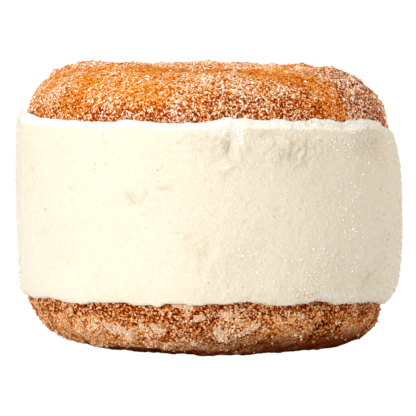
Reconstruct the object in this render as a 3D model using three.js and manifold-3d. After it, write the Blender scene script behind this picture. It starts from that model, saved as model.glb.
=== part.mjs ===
// A doughnut ice cream sandwich: a cinnamon sugar ring doughnut, sliced level, with a thick round of vanilla
// ice cream between its halves. Millimetres, +Z up, origin under the middle at the height that it rests on.
// Bearings run anticlockwise from +X, seen from above, and the front of the sandwich faces -Y.
//
// Nodes: doughnut_bottom, ice_cream, doughnut_top. Each is turned on a lathe and then made uneven, as food is:
// the slices lean, the crust has crags, and lumps of sugar are fused to it.

import * as THREE from "three";
import { mergeVertices } from "three/addons/utils/BufferGeometryUtils.js";
import Module from "manifold-3d";

const wasm = await Module();
wasm.setup();

// ---- Driving dimensions -------------------------------------------------------------------------------------

const COLUMNS = 84; // steps round each turned piece
const JOINT_GAP = 0.3; // between a doughnut half and the ice cream

// The two levels at which the ice cream meets the doughnut, where they cross the axis, and how they slope there.
const TOP_JOINT = { level: 49.7, slopeX: -0.03, slopeY: -0.03 };
const BOTTOM_JOINT = { level: 10.5, slopeX: -0.03, slopeY: -0.045 };
const WARP = { rise: 0.6, radius: 42.5, bearing: degrees(-50) }; // both joints curl up along this bearing

const ICE_CREAM = {
  radius: 42.5,
  waist: 0.65, // height of its widest level, as a share of its thickness
  taper: 2.2, // how far the wall would lean in over a whole thickness away from there
  rimWidth: 0.4, // the narrow top of the rim, where it turns down to the joint
  topCorner: { inset: 2.0, drop: 8.5, swing: 1.5, swingDrop: 5.5 }, // rounder on the right
  leastInset: 0.5, // of the top corner, where the rim also spreads with a lip
  bottomCorner: { inset: 2.7, drop: 4.8, swing: 1.5, swingDrop: 2.2 },
  plug: { radius: 9.0, rise: 0.8 }, // the low swell inside the hole of the doughnut
};

const TOP_HALF = {
  up: 1,
  joint: TOP_JOINT,
  offsetX: -0.5,
  radius: 39.7,
  holeRadius: 10.2,
  crestRadius: 25.0,
  crestLevel: 61.9,
  crestSwing: 0.5, // how much higher the crest is on the left than at the middle
  outerFullness: { left: 0.95, right: 1.02 }, // 1 is a half ellipse, less is fuller
  cragSeed: 8,
};

const BOTTOM_HALF = {
  up: -1,
  joint: BOTTOM_JOINT,
  offsetX: -1.2,
  radius: 38.7,
  holeRadius: 10.2,
  crestRadius: 19.0,
  crestLevel: -0.45, // below the floor by what is pressed flat
  crestSwing: 0,
  outerFullness: { left: 1.03, right: 0.76 },
  cragSeed: 42,
};

const CRAGS = [
  { size: 9.0, height: 0.55 },
  { size: 4.4, height: 0.38 },
];

// Where the ice cream was squeezed up past the joint: bearing and half width in degrees, and rise.
const LIPS = [
  { bearing: -163, spread: 11, rise: 0.9 },
  { bearing: -80, spread: 16, rise: 0.5 },
  { bearing: -47, spread: 13, rise: 1.0 },
  { bearing: 38, spread: 15, rise: 0.5 },
  { bearing: 104, spread: 18, rise: 0.6 },
  { bearing: 155, spread: 10, rise: 0.5 },
];

// Hollows and nicks in the wall of the ice cream: bearing, height, how wide and tall, and depth.
const HOLLOWS = [
  { bearing: -112, height: 34.5, wide: 5.0, tall: 4.2, depth: 0.55 },
  { bearing: -92, height: 24.4, wide: 6.5, tall: 5.0, depth: 0.5 },
  { bearing: -94, height: 46.5, wide: 4.0, tall: 3.4, depth: 0.5 },
  { bearing: -83, height: 46.0, wide: 3.2, tall: 5.0, depth: 0.6 },
  { bearing: -64, height: 42.5, wide: 5.0, tall: 5.5, depth: 0.5 },
  { bearing: -36, height: 17.0, wide: 5.0, tall: 4.0, depth: 0.4 },
  { bearing: -150, height: 27.0, wide: 3.4, tall: 3.4, depth: 0.4 },
  { bearing: 20, height: 30.0, wide: 6.0, tall: 5.0, depth: 0.5 },
  { bearing: 62, height: 22.0, wide: 4.0, tall: 4.5, depth: 0.5 },
  { bearing: 95, height: 39.0, wide: 6.0, tall: 4.0, depth: 0.6 },
  { bearing: 133, height: 26.0, wide: 5.0, tall: 5.0, depth: 0.5 },
];
const WALL_WAVES = { size: 12, height: 0.3, seed: 63 };

const LIP_SPREAD = 1.1; // how far out the rim goes for each millimetre that it rises

const LUMPS = {
  top: { count: 46, seed: 5, fromArc: degrees(24), toArc: degrees(150) },
  bottom: { count: 34, seed: 8, fromArc: degrees(22), toArc: degrees(58) },
};
const LUMP = { smallest: 0.8, largest: 1.7, flatness: 0.55, sink: 0.25 };

const FINISH = {
  crust: { color: 0xb9692a, roughness: 0.8, metalness: 0 },
  sugaredCrust: { color: 0xd2853f, roughness: 0.75, metalness: 0 },
  iceCream: { color: 0xf7edd6, roughness: 0.55, metalness: 0 },
};

// ---- Tools --------------------------------------------------------------------------------------------------

function degrees(value) {
  return (value * Math.PI) / 180;
}

/** A repeatable number from 0 to 1 for a lattice point. */
function hash(x, y, z, seed) {
  const wave = Math.sin(x * 127.1 + y * 311.7 + z * 74.7 + seed * 53.3) * 43758.5453;
  return wave - Math.floor(wave);
}

/** Smooth noise from -1 to 1 whose bumps are about `size` apart. */
function noise(point, size, seed) {
  const cell = point.clone().divideScalar(size);
  const corner = cell.clone().floor();
  const ease = (t) => t * t * (3 - 2 * t);
  const t = cell.sub(corner);
  const [u, v, w] = [ease(t.x), ease(t.y), ease(t.z)];
  let sum = 0;
  for (const [i, j, k] of CUBE_CORNERS) {
    const share = (i ? u : 1 - u) * (j ? v : 1 - v) * (k ? w : 1 - w);
    sum += share * hash(corner.x + i, corner.y + j, corner.z + k, seed);
  }
  return 2 * sum - 1;
}
const CUBE_CORNERS = [0, 1].flatMap((i) => [0, 1].flatMap((j) => [0, 1].map((k) => [i, j, k])));

/** 1 at the middle of a soft bump, a third at one half width away and almost 0 at two. */
function softBump(distance) {
  return Math.exp(-distance * distance);
}

/** The angle between two bearings, from -180 to 180 degrees, in radians. */
function turn(from, to) {
  return Math.atan2(Math.sin(to - from), Math.cos(to - from));
}

/** How far an elliptical corner of that inset and drop pulls the wall in, this far from the edge. */
function cornerPull(inset, drop, distance) {
  if (distance >= drop) return 0;
  return inset * (1 - Math.sqrt(1 - (1 - distance / drop) ** 2));
}

/** Geometry with one vertex for each corner, and nothing but positions. */
function weld(geometry) {
  const bare = geometry.clone();
  bare.deleteAttribute("normal");
  bare.deleteAttribute("uv");
  return mergeVertices(bare, 1e-4);
}

/** Closed geometry as a solid that can be joined and cut. */
function solidOf(geometry) {
  const welded = weld(geometry);
  return new wasm.Manifold(
    new wasm.Mesh({
      numProp: 3,
      vertProperties: welded.attributes.position.array,
      triVerts: new Uint32Array(welded.index.array),
    }),
  );
}

function geometryOf(solid) {
  const mesh = solid.getMesh();
  const geometry = new THREE.BufferGeometry();
  geometry.setAttribute("position", new THREE.BufferAttribute(mesh.vertProperties, 3));
  geometry.setIndex(new THREE.BufferAttribute(mesh.triVerts, 1));
  return geometry;
}

/** A closed uneven ring or round. Each point of its section is a function that gives its place at a bearing. */
function unevenTurning(section) {
  const profile = section.map((placeAt) => {
    const { x, y, z } = placeAt(0);
    return new THREE.Vector2(Math.hypot(x, y), z);
  });
  const geometry = new THREE.LatheGeometry(profile, COLUMNS).rotateX(Math.PI / 2);
  for (let column = 0; column <= COLUMNS; column++) {
    const bearing = ((column % COLUMNS) / COLUMNS) * 2 * Math.PI;
    section.forEach((placeAt, row) => {
      geometry.attributes.position.setXYZ(column * section.length + row, ...placeAt(bearing));
    });
  }
  return geometry;
}

// ---- Joints between the ice cream and the doughnut ----------------------------------------------------------

/** Height of a joint at a place: a leaning plane that curls a little, like a saddle. */
function jointHeight(joint, x, y) {
  const twist = 2 * WARP.bearing;
  const saddle = (x * x - y * y) * Math.cos(twist) + 2 * x * y * Math.sin(twist);
  const curl = (WARP.rise * saddle) / WARP.radius ** 2;
  return joint.level + joint.slopeX * x + joint.slopeY * y + curl;
}

// ---- Doughnut halves ----------------------------------------------------------------------------------------

/** Height of the crags of the crust at a place. */
function crags(point, seed) {
  return CRAGS.reduce((sum, { size, height }, k) => sum + height * noise(point, size, seed + k), 0);
}

/** The way a half doughnut's crust faces at a place. */
function outwardAt(half, arc, bearing) {
  const side = Math.cos(arc);
  return new THREE.Vector3(side * Math.cos(bearing), side * Math.sin(bearing), half.up * Math.sin(arc));
}

/** Height of a half doughnut's cut face, just clear of the ice cream. */
function cutHeight(half, x, y) {
  return jointHeight(half.joint, x, y) + half.up * JOINT_GAP;
}

/**
 * A point of a half doughnut's crust. `arc` runs from 0 at the outer cut edge, over the crest at a quarter turn,
 * to half a turn at the edge of the hole.
 */
function crustPoint(half, arc, bearing) {
  const side = Math.cos(arc);
  const outside = side > 0;
  const toLeft = (1 - Math.cos(bearing)) / 2;
  const { left, right } = half.outerFullness;
  const fullness = outside ? THREE.MathUtils.lerp(right, left, toLeft) : 1;
  const reach = outside ? half.radius - half.crestRadius : half.crestRadius - half.holeRadius;
  const radius = half.crestRadius + Math.sign(side) * reach * Math.abs(side) ** fullness;
  const x = half.offsetX + radius * Math.cos(bearing);
  const y = radius * Math.sin(bearing);
  const base = cutHeight(half, x, y);
  const crest = half.crestLevel - half.crestSwing * Math.cos(bearing);
  const point = new THREE.Vector3(x, y, base + (crest - base) * Math.sin(arc) ** fullness);
  const roughness = 0.35 + 0.65 * Math.sin(arc);
  point.addScaledVector(outwardAt(half, arc, bearing), roughness * crags(point, half.cragSeed));
  if (arc === 0 || arc === Math.PI) point.z = cutHeight(half, point.x, point.y);
  point.z = Math.max(point.z, 0);
  return point;
}

/** A half doughnut: its crust, then its cut face back to the outer edge. */
function halfDoughnut(half) {
  const arcSteps = 16;
  const cutSteps = 2;
  const section = [];
  for (let i = 0; i <= arcSteps; i++) {
    section.push((bearing) => crustPoint(half, (Math.PI * i) / arcSteps, bearing));
  }
  for (let i = 1; i <= cutSteps; i++) {
    section.push((bearing) => {
      const place = crustPoint(half, Math.PI, bearing).lerp(crustPoint(half, 0, bearing), i / cutSteps);
      return place.setZ(cutHeight(half, place.x, place.y));
    });
  }
  return unevenTurning(half.up > 0 ? section : section.toReversed());
}

const lumpShape = weld(new THREE.IcosahedronGeometry(1, 0));

/** A lump of caked sugar, partly sunk in the crust. `draw` gives its own random numbers. */
function sugarLump(half, { fromArc, toArc }, bearing, draw) {
  const arc = THREE.MathUtils.lerp(fromArc, toArc, draw(2));
  const radius = THREE.MathUtils.lerp(LUMP.smallest, LUMP.largest, draw(3) ** 2);
  const outward = outwardAt(half, arc, bearing);
  const place = crustPoint(half, arc, bearing).addScaledVector(outward, -LUMP.sink * radius * LUMP.flatness);
  const geometry = lumpShape.clone().rotateZ(draw(4) * Math.PI);
  geometry.scale(radius, radius * (0.7 + 0.5 * draw(5)), radius * LUMP.flatness);
  geometry.applyQuaternion(new THREE.Quaternion().setFromUnitVectors(new THREE.Vector3(0, 0, 1), outward));
  return solidOf(geometry.translate(place.x, place.y, place.z));
}

/** A half doughnut with lumps of sugar fused all round its crust. */
function sugaredHalf(half, lumps) {
  let solid = solidOf(halfDoughnut(half));
  for (let i = 0; i < lumps.count; i++) {
    const draw = (k) => hash(i, k, lumps.seed, lumps.seed);
    const bearing = ((i + draw(1)) / lumps.count) * 2 * Math.PI;
    solid = solid.add(sugarLump(half, lumps, bearing, draw));
  }
  return geometryOf(solid);
}

// ---- Ice cream ----------------------------------------------------------------------------------------------

/** How far the top rim stands above the joint. */
function lipRise(bearing) {
  return LIPS.reduce((sum, lip) => {
    const away = turn(degrees(lip.bearing), bearing) / degrees(lip.spread);
    return sum + lip.rise * softBump(away);
  }, 0);
}

/** How deep the hollows are at a place on the wall. */
function hollowDepth(bearing, height) {
  return HOLLOWS.reduce((sum, hollow) => {
    const along = (ICE_CREAM.radius * turn(degrees(hollow.bearing), bearing)) / hollow.wide;
    const above = (height - hollow.height) / hollow.tall;
    return sum + hollow.depth * softBump(2 * Math.hypot(along, above));
  }, 0);
}

/** A corner's inset and drop at a bearing: it is rounder to the right. */
function cornerAt({ inset, drop, swing, swingDrop }, bearing) {
  return { inset: inset + swing * Math.cos(bearing), drop: drop + swingDrop * Math.cos(bearing) };
}

/** A point of the wall, a share of the way up from the bottom joint to the top rim. */
function wallPoint(share, bearing) {
  const place = new THREE.Vector3(ICE_CREAM.radius * Math.cos(bearing), ICE_CREAM.radius * Math.sin(bearing), 0);
  const lip = lipRise(bearing);
  const low = jointHeight(BOTTOM_JOINT, place.x, place.y);
  const high = jointHeight(TOP_JOINT, place.x, place.y) + lip;
  place.z = THREE.MathUtils.lerp(low, high, share);
  const top = cornerAt(ICE_CREAM.topCorner, bearing);
  const bottom = cornerAt(ICE_CREAM.bottomCorner, bearing);
  const radius =
    ICE_CREAM.radius -
    ICE_CREAM.taper * (share - ICE_CREAM.waist) ** 2 -
    cornerPull(Math.max(top.inset - LIP_SPREAD * lip, ICE_CREAM.leastInset), top.drop, high - place.z) -
    cornerPull(bottom.inset, bottom.drop, place.z - low) -
    hollowDepth(bearing, place.z) +
    WALL_WAVES.height * noise(place, WALL_WAVES.size, WALL_WAVES.seed);
  return place.setX(radius * Math.cos(bearing)).setY(radius * Math.sin(bearing));
}

/** A point of the joint faces, with the low swell in the hole of the doughnut on top. */
function facePoint(joint, radius, bearing) {
  const { plug } = ICE_CREAM;
  const x = radius * Math.cos(bearing);
  const y = radius * Math.sin(bearing);
  const swell = joint === TOP_JOINT ? plug.rise * Math.max(0, 1 - (radius / plug.radius) ** 2) : 0;
  return new THREE.Vector3(x, y, jointHeight(joint, x, y) + swell);
}

/** The edge of a joint face, this far in from the end of the wall at that share of its height. */
function faceEdge(joint, share, inside, bearing) {
  const end = wallPoint(share, bearing);
  return facePoint(joint, Math.hypot(end.x, end.y) - inside, bearing);
}

function iceCreamRound() {
  const bottomCorner = [0.015, 0.045, 0.09];
  const topCorner = [0.82, 0.89, 0.945, 0.98, 1];
  const wallSteps = 12;
  const wall = [];
  for (let i = 1; i < wallSteps; i++) {
    wall.push(THREE.MathUtils.lerp(bottomCorner.at(-1), topCorner[0], i / wallSteps));
  }
  const underside = [0, 16, 30];
  const face = [26, ICE_CREAM.plug.radius, 5, 0];
  return unevenTurning([
    ...underside.map((radius) => (bearing) => facePoint(BOTTOM_JOINT, radius, bearing)),
    (bearing) => faceEdge(BOTTOM_JOINT, 0, 0, bearing),
    ...[...bottomCorner, ...wall, ...topCorner].map((share) => (bearing) => wallPoint(share, bearing)),
    (bearing) => faceEdge(TOP_JOINT, 1, ICE_CREAM.rimWidth, bearing),
    ...face.map((radius) => (bearing) => facePoint(TOP_JOINT, radius, bearing)),
  ]);
}

// ---- Assembly -----------------------------------------------------------------------------------------------

function mesh(name, geometry, finish) {
  const made = new THREE.Mesh(geometry, new THREE.MeshStandardMaterial({ ...finish, flatShading: true }));
  made.name = name;
  return made;
}

const sandwich = new THREE.Group();
sandwich.name = "ice_cream_sandwich";
sandwich.add(
  mesh("doughnut_bottom", sugaredHalf(BOTTOM_HALF, LUMPS.bottom), FINISH.crust),
  mesh("ice_cream", geometryOf(solidOf(iceCreamRound())), FINISH.iceCream),
  mesh("doughnut_top", sugaredHalf(TOP_HALF, LUMPS.top), FINISH.sugaredCrust),
);

export default sandwich;
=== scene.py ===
"""Looks of a doughnut ice cream sandwich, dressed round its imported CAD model.

Shapes are worked out in millimetres and become metres when a mesh is made. Bearings run anticlockwise from
+X, seen from above, and the front of the sandwich faces -Y. The three large pieces repeat the formulas of the
CAD model at a finer step, with the small relief, sugar and frost that the model leaves out.
"""

import itertools
import math
from dataclasses import dataclass
from types import SimpleNamespace

import bpy
import numpy as np
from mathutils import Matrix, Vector

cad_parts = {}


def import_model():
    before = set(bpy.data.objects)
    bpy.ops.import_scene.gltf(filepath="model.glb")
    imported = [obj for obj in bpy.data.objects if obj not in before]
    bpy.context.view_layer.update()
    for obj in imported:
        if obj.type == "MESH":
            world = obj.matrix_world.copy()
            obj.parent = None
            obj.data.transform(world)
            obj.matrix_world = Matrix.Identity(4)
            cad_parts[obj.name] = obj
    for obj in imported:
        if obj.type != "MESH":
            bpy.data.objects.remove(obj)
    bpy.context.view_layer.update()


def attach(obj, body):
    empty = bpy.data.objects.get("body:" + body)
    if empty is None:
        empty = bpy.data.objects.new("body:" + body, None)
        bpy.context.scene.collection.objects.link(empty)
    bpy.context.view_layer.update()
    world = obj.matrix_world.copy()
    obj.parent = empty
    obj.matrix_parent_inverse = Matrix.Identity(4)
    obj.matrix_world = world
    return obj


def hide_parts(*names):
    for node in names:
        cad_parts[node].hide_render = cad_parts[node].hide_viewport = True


MM = 0.001

# ---- Camera and light ----

VIEW_WIDTH = 91.6  # mm across the picture at the sandwich
VIEW_DISTANCE = 900.0
VIEW_ELEVATION = 3.5  # degrees
VIEW_AIM = (-0.2, 0.0, 30.3)
VIEW_CLIP = (0.05, 20)  # metres
SENSOR = 36.0

WHITE_GLOW = 1.05  # a little over white, so that the backdrop and the floor show as plain white
FLOOR_RADIUS = 6.0  # metres
FLOOR_PAPER = (0.82, 0.82, 0.82)
FLOOR_GLOW = 0.96  # share of the floor's look that is plain white
FLOOR_BOUNCE = 0.13  # the same share in the light that it throws on other things
ROOM_LEFT = (0.64, 0.69, 0.71)  # light that comes from each side of the room
ROOM_RIGHT = (0.41, 0.33, 0.23)
ROOM_FADE = (-0.7, 0.9)  # from one side's light to the other's, where -1 is far left and 1 far right
LAMP_AIM = (0, 0, 0.03)
LAMPS = {  # places and sizes in metres, power in watts
    "key": SimpleNamespace(place=(-0.65, -0.95, 0.26), size=0.30, power=6.5),
    "overhead": SimpleNamespace(place=(0.04, -0.05, 0.9), size=0.7, power=3.9),
    "rim": SimpleNamespace(place=(0.9, 0.45, 0.2), size=0.5, power=1.9),
}

# ---- The CAD model's driving dimensions, in mm ----


@dataclass
class Joint:
    level: float
    slope_x: float
    slope_y: float


TOP_JOINT = Joint(49.7, -0.03, -0.03)
BOTTOM_JOINT = Joint(10.5, -0.03, -0.045)
WARP = SimpleNamespace(rise=0.6, radius=42.5, bearing=math.radians(-50))
SEAT = -0.12  # gap between each half and the ice cream. Here they are pressed into each other.

ICE_CREAM = SimpleNamespace(
    radius=42.5, waist=0.65, taper=2.2, rim_width=0.4,
    top_corner=(2.0, 8.5, 1.5, 5.5),  # inset, drop, and how much each swings to the right
    least_inset=0.5, bottom_corner=(2.7, 4.8, 1.5, 2.2), plug_radius=9.0, plug_rise=0.8,
)
TOP_HALF = SimpleNamespace(
    up=1, joint=TOP_JOINT, offset_x=-0.5, radius=39.7, hole_radius=10.2, crest_radius=25.0,
    crest_level=61.9, crest_swing=0.5, full_left=0.95, full_right=1.02, seed=8,
)
BOTTOM_HALF = SimpleNamespace(
    up=-1, joint=BOTTOM_JOINT, offset_x=-1.2, radius=38.7, hole_radius=10.2, crest_radius=19.0,
    crest_level=-0.45, crest_swing=0.0, full_left=1.03, full_right=0.76, seed=42,
)
CRAGS = (0, (9.0, 0.55), (4.4, 0.38))  # seed, then size and height of each layer
CRAGS_AT_CUT = 0.35  # share of their height that is left beside the cut

LIPS = (  # bearing, half width, rise
    (-163, 11, 0.9), (-80, 16, 0.5), (-47, 13, 1), (38, 15, 0.5), (104, 18, 0.6), (155, 10, 0.5),
)
LIP_SPREAD = 1.1

# Soft marks on the wall of the ice cream: bearing, height, width, size across it, strength, and for some the
# degrees that they lean. The strength of a dent is its depth in mm. Below zero it stands out.
HOLLOWS = (
    (-112, 34.5, 5, 4.2, 0.55), (-92, 24.4, 6.5, 5, 0.5), (-94, 46.5, 4, 3.4, 0.5), (-83, 46, 3.2, 5, 0.6),
    (-64, 42.5, 5, 5.5, 0.5), (-36, 17, 5, 4, 0.4), (-150, 27, 3.4, 3.4, 0.4), (20, 30, 6, 5, 0.5),
    (62, 22, 4, 4.5, 0.5), (95, 39, 6, 4, 0.6), (133, 26, 5, 5, 0.5),
)
WALL_WAVES = (63, (12.0, 0.3))  # seed, then size and height

LUMPS_TOP = SimpleNamespace(count=46, seed=5, from_arc=24, to_arc=150)
LUMPS_BOTTOM = SimpleNamespace(count=34, seed=8, from_arc=22, to_arc=58)
LUMP = SimpleNamespace(
    smallest=0.8, largest=1.7, flatness=0.55, sink=0.25,
    widths=(0.85, 1.10),  # least and greatest, as shares of the size that is drawn
    sugar=0.9,  # how much more sugar there is on a lump
)

# ---- Fine marks, which the CAD model leaves out ----

NICKS = (
    (-121.9, 45.9, 1.3, 1.6, 0.45), (-134.5, 36.5, 2.6, 0.6, 0.6, -35), (-134.7, 35.1, 1.8, 1, -0.3),
    (-133.7, 33.4, 2.6, 0.5, 0.4, -42), (-112.4, 34.6, 4.4, 1.3, 0.5, -42),
    (-109, 34.8, 3.8, 1.1, 0.45, 60), (-109.5, 32.6, 2.2, 1.8, -0.4), (-102.5, 37, 2.6, 0.6, 0.8, 5),
    (-100.5, 36.7, 0.9, 0.9, 0.4), (-143.4, 29.5, 1.2, 1.4, 0.3), (-142.4, 21.2, 1.3, 1.1, 0.25),
    (-161.1, 40.5, 0.9, 4.2, 0.22), (-160.5, 33, 1, 3.6, 0.2), (-97.6, 46.9, 3, 1, 0.3, 35),
    (-92.6, 44.8, 5, 0.9, 0.25, 5), (-84.2, 45.6, 0.8, 2.8, 0.5, -8), (-82.2, 45.8, 1.6, 6, -0.4, 15),
    (-80.2, 46, 2.6, 3, -0.25, -20), (-84.3, 41.4, 2.8, 1.3, -0.5, 10), (-84.3, 40.2, 2, 0.9, 0.4),
    (-74.5, 47.6, 5, 2, 0.25), (-70.8, 48.1, 4.5, 2.2, 0.5), (-66.3, 46.6, 1, 3, -0.25, -25),
    (-64, 44.8, 1, 3, -0.33, -35), (-61.8, 44, 1, 3, -0.33, -35), (-65.4, 43.6, 1.4, 2, 0.35, -30),
    (-63, 41.9, 3, 0.9, -0.35, 25), (-56.5, 47, 2.4, 1.2, -0.3, 10), (-48.5, 48, 2, 1.4, -0.25, -20),
    (-69.9, 32.3, 2, 0.6, 0.3), (-95.4, 26.4, 1.8, 1.6, 0.35), (-93, 26.1, 1.6, 0.6, -0.35, 10),
    (-91.5, 25, 1.2, 2.2, -0.3, 15), (-90.6, 23.3, 3, 2.2, 0.5), (-95.4, 19.4, 3.4, 0.8, 0.2, -15),
    (-93.6, 18.2, 2.6, 0.7, 0.18, 25), (-76.8, 26.1, 1.2, 0.9, 0.18), (-33.5, 17.4, 6.5, 0.8, 0.35, 28),
    (-29.5, 16, 4.5, 0.8, 0.3, -22), (-38.1, 14.8, 5, 0.9, 0.3, 12), (-52.8, 26.4, 2, 1.8, 0.2),
    (-48.6, 23.1, 1.4, 1, 0.2), (-42.8, 18.8, 2.4, 1.6, -0.2), (-65, 15.1, 2.2, 1.3, -0.3),
    (12, 40, 4, 1.4, 0.3, 20), (44, 33, 2, 4, 0.3, 10), (78, 44, 4, 1.6, 0.3, -15), (112, 30, 2.4, 2, 0.35),
    (121, 19, 4.5, 1.5, 0.25, 20), (150, 41, 3, 1.4, 0.3, -30), (171, 24, 2, 3.4, 0.3),
)

SMEARS = (  # orange crumbs caught on the wall
    (-59, 13.9, 5, 0.9, 1.2, 8), (-71, 12.4, 3, 0.7, 0.5), (60, 14, 5, 0.9, 0.8),
)

# How the ice cream's edges rise and fall along its joints: a seed for their small waves, then the bearing,
# half width in degrees and rise of each named swell.
TOP_EDGE = (
    41,
    (-170, 7, 0.8), (-121, 4, -0.3), (-114, 4, 0.4), (-88, 50, -0.33), (-99, 5, -0.2), (-94, 2, -0.3),
    (-84, 4, 0.45), (-79, 2, 0.3), (-68, 4, 0.2), (-60, 3, -0.3), (-55.5, 2, 0.3), (-45, 4, -0.9),
    (-33, 5, 0.5), (-24, 10, 1.2),
)
BOTTOM_EDGE = (
    51,
    (-149, 5, 0.25), (-135, 6, -0.55), (-119.5, 5, 0.1), (-109.5, 4, -0.6), (-105.4, 1.5, -0.6),
    (-100, 5, 0.15), (-94, 3, -0.3), (-79, 4, 0.7), (-66, 5, -0.4), (-53, 5, 1.15), (-44, 3, -0.3),
    (-28, 12, 0.35),
)
RIM_BEVEL = SimpleNamespace(drop=1.6, depth=0.5, more_to_right=0.5)  # the top edge is rounded off
EDGE_DEPTH = 2.6  # how far into the wall the edge's waves reach
# Distances from the joint between which an edge of the wall turns white with painted highlight, and how
# white.
LIP_HIGHLIGHT = SimpleNamespace(fade=(2.3, 0.6), share=1.0)
FOOT_HIGHLIGHT = SimpleNamespace(fade=(1.6, 0.5), share=0.45)
HIGHLIGHT_LEVEL = 0.75
WALL_STARTS = (35, 38)  # radii between which the faces of the round turn into its wall
MOST_ROUGH = 1.2
# Share of each hollow's depth that goes into the painted shade of the cream.
HOLLOW_SHADE = 0.5
# Frost: how much lies everywhere, low on the right and under the lip to the right.
FROST = SimpleNamespace(everywhere=0.15, low_right=0.9, under_lip=0.7)
FROST_HEIGHTS = (52, 18)
FROST_DROPS = (7.0, 2.0)  # below the lip
FROST_SIDES = SimpleNamespace(low=(-0.2, 1.0), lip=(-0.1, 0.3))  # cosines of bearings, where 1 is far right

# Where the wall is rough, and by how much.
ROUGH_CREAM = (
    (-88, 46.5, 14, 9, 1), (-63, 45, 15, 9, 1.3), (-34, 46, 17, 10, 1.3), (-90, 20, 13, 13, 0.7),
    (-55, 19, 18, 14, 0.6), (-110, 35, 9, 6, 0.5), (25, 40, 20, 12, 0.8), (100, 24, 24, 14, 0.8),
    (160, 38, 18, 12, 0.7),
)
FROSTED = ((-33, 46, 16, 9, 0.8),)
SHADED = ((-26, 46, 26, 15, 0.6),)  # where painted shade darkens the wall a little, though it has no dent there
WHITE_SMEARS_AND_HIGHLIGHTS = (  # painted highlights at the lip and on ridges and bumps, and whiter smears near the foot, besides the wall's edges
    (-86.5, 50, 9, 5, 0.9), (-81.3, 47.4, 2.2, 6, 0.9), (-84.5, 41.5, 3, 1.6, 0.9),
    (-63, 45.3, 6, 1.6, 0.4), (-109.3, 32.8, 2, 1.4, 0.6), (-57, 13.8, 13, 3.4, 0.7),
    (-44, 13.2, 9, 4, 0.6),
)

# Where sugar lies thick on the top crust, and where it is bare: bearing, arc, half width in mm, and strength.
# The bare strips at arcs 84 and 85, from -112 to -70 degrees, go with the painted shade line along the near
# crest.
TOP_PATCHES = (
    (-77, 35, 4.5, 0.9), (-99, 14, 2.5, 0.7), (-144, 45, 6, 0.05), (-84, 14, 3, 0.6), (-62, 14, 4, 0.5),
    (-64, 36, 2.2, 0.7), (-35, 9, 2.2, 0.7), (-126, 25, 2, 0.6), (-94, 46, 2.5, 0.4), (-110, 62, 5, 0.1),
    (-150, 12, 4, 0.1), (-26, 16, 4.5, 0.2), (-34, 36, 4, 0.2), (-30, 62, 5.5, 0.25), (-16, 40, 5, 0.25),
    (-99, 38, 4, -0.1), (-88, 46, 11, 0.32), (-106, 36, 5.5, -0.15), (-50, 50, 7, -0.7), (-70, 62, 5, -0.3),
    (-40, 26, 4, -0.3), (-112, 84, 3, -0.8), (-98, 85, 3, -0.9), (-84, 84, 3, -0.9), (-70, 85, 3, -0.9),
    (90, 84, 16, 0.35), (45, 84, 14, 0.3), (135, 84, 14, 0.3),
)
BOTTOM_PATCHES = (
    (-121, 26, 4, 0.4), (-108, 25, 4, 0.4), (-95, 6, 2.4, 0.5), (-84, 24, 3.5, 0.4), (-73, 22, 2.2, 0.4),
    (-60, 18, 2.4, 0.3), (-150, 22, 4, 0.2), (-104, 12, 3, -0.3), (-84, 14, 9, 0.35), (-58, 18, 10, -0.05),
    (-132, 34, 7, 0.2), (-112, 42, 7, 0.4), (-94, 42, 5, 0.3), (-80, 34, 4, 0.2),
)
BOTTOM_CHARRED = (  # where burnt crumbs lie thick, in the same terms
    (-48.5, 20, 2, 1), (-47, 28, 1.6, 0.9),
)
# Thin flakes of caked sugar: bearing, arc, half length and half width in mm, and degrees that they lean.
BOTTOM_FLAKES = (
    (-122.5, 27.5, 2.3, 1.1, -40), (-117.5, 31, 2.8, 0.8, -50), (-110.5, 25, 0.9, 0.7, 0),
    (-105.5, 26, 2.2, 0.9, -35), (-103, 43, 1.4, 0.6, 30), (-96, 2.5, 2.4, 0.9, 0),
    (-91.5, 13, 1.2, 0.6, 15), (-97, 36, 0.8, 0.5, 60), (-84.5, 26.5, 1.9, 0.8, -45),
    (-82.5, 9, 1.5, 0.6, 5), (-74, 23.5, 2.4, 0.6, 40), (-58, 9, 1.2, 0.4, -20), (-138, 12, 1, 0.5, 60),
    (20, 20, 1.8, 1, 30), (75, 15, 2.2, 1.1, -30), (110, 30, 2, 1.2, 10), (160, 20, 1.6, 0.9, 50),
)
# Where the crust is craggy, with deep gaps between its crumbs: bearing, arc, half width in mm and strength.
TOP_CRAGS = (
    (-26, 12, 7, 1.3), (-26, 34, 8, 1.2), (-18, 52, 8, 1), (-62, 14, 7, 0.8), (-80, 18, 6, 0.8),
    (-95, 10, 6, 0.6), (-145, 14, 6, 0.4), (70, 16, 9, 0.9), (130, 20, 8, 0.8), (10, 20, 8, 0.8),
)
BOTTOM_CRAGS = (
    (-118, 8, 7, 0.7), (-100, 12, 7, 0.8), (-88, 8, 6, 0.8), (-72, 6, 6, 0.7), (-42, 14, 5, 0.6),
    (-84, 32, 3, 0.6), (80, 14, 9, 0.9), (140, 12, 8, 0.7),
)
# Lines of painted shade on the top crust, in a fold and along the near crest: arc and bearing of points along
# each, its half width, strength and depth.
TOP_LINES = (
    (((80, -49), (62, -52), (45, -56), (30, -54.5)), 0.9, 0.8, 0.2),
    (((80, -116), (81, -100), (82, -85), (80, -68)), 1.6, 0.9, 0.0),
)
# Where a crust is flatter than the formula, or fuller where the last number is below zero, in patch terms.
TOP_DENTS = (
    (180, 33, 5, 0.45), (178, 68, 4, 0.25), (3, 72, 5, 0.4), (-2, 20, 4, -0.3), (51, 90, 1.2, -0.35),
    (35, 90, 3.5, -0.3), (32, 90, 0.9, -0.4), (15, 88, 1.2, -0.4), (2, 76, 1, -0.4),
)
BOTTOM_DENTS = ((-5, 75, 5, -0.6), (-6, 14, 5, -0.5))
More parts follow.
